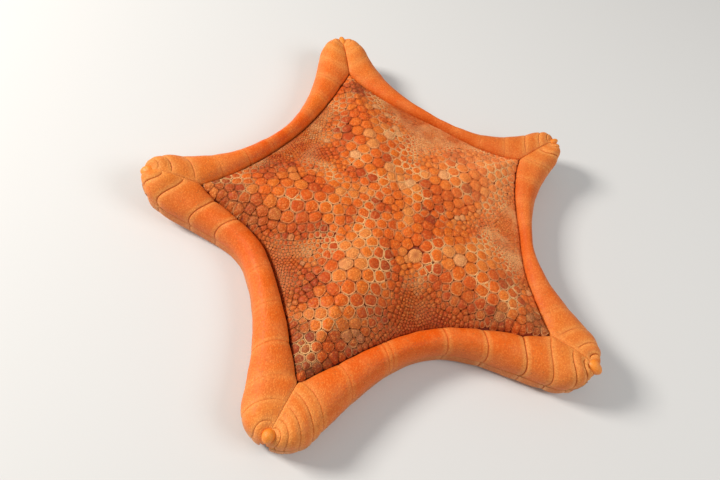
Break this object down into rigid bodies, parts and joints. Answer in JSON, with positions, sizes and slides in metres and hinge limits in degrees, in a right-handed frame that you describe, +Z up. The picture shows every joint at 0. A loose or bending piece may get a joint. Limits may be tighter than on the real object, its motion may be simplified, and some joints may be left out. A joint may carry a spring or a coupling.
{
  "type": "starfish",
  "caption": "Life-size placenta sea star: a plump five-pointed cushion, orange, with a mosaic of small plates on top and thick swollen plates along its edges; arm tips raised.",
  "frame": {"origin": "middle of the whole star's box, on the floor that it lies on", "axes": "+Z up from the floor through the upper side of the star; -Y towards the viewer; +X to the viewer's right"},
  "size_m": [0.1453, 0.1457, 0.0162],
  "materials": {
    "skin": "brown-red skin between a mosaic of rounded orange, salmon and peach plates with paler rims, finely granular",
    "upper_edge_plates": "swollen bright orange plates, finely granular, paler along their edges and seams",
    "lower_edge_plates": "pale peach orange plates, finely granular",
    "end_knobs": "smooth yellow-orange knobs",
    "sieve_plate": "pale salmon plate with fine winding furrows",
    "mouth": "soft red-brown membrane inside a ring of pale jaw plates",
    "tube_feet": "soft translucent pale yellow feet"
  },
  "bodies": {
    "root": {"disc": "skin", "arm_front_left": "skin", "arm_front_right": "skin", "arm_right": "skin", "arm_back": "skin", "arm_left": "skin", "upper_plates_front": "upper_edge_plates", "upper_plates_right": "upper_edge_plates", "upper_plates_back_right": "upper_edge_plates", "upper_plates_back_left": "upper_edge_plates", "upper_plates_left": "upper_edge_plates", "lower_plates_front": "lower_edge_plates", "lower_plates_right": "lower_edge_plates", "lower_plates_back_right": "lower_edge_plates", "lower_plates_back_left": "lower_edge_plates", "lower_plates_left": "lower_edge_plates", "end_knob_front_left": "end_knobs", "end_knob_front_right": "end_knobs", "end_knob_right": "end_knobs", "end_knob_back": "end_knobs", "end_knob_left": "end_knobs", "madreporite": "sieve_plate", "mouth": "mouth", "tube_feet_front_left": "tube_feet", "tube_feet_front_right": "tube_feet", "tube_feet_right": "tube_feet", "tube_feet_back": "tube_feet", "tube_feet_left": "tube_feet"}
  },
  "joints": []
}
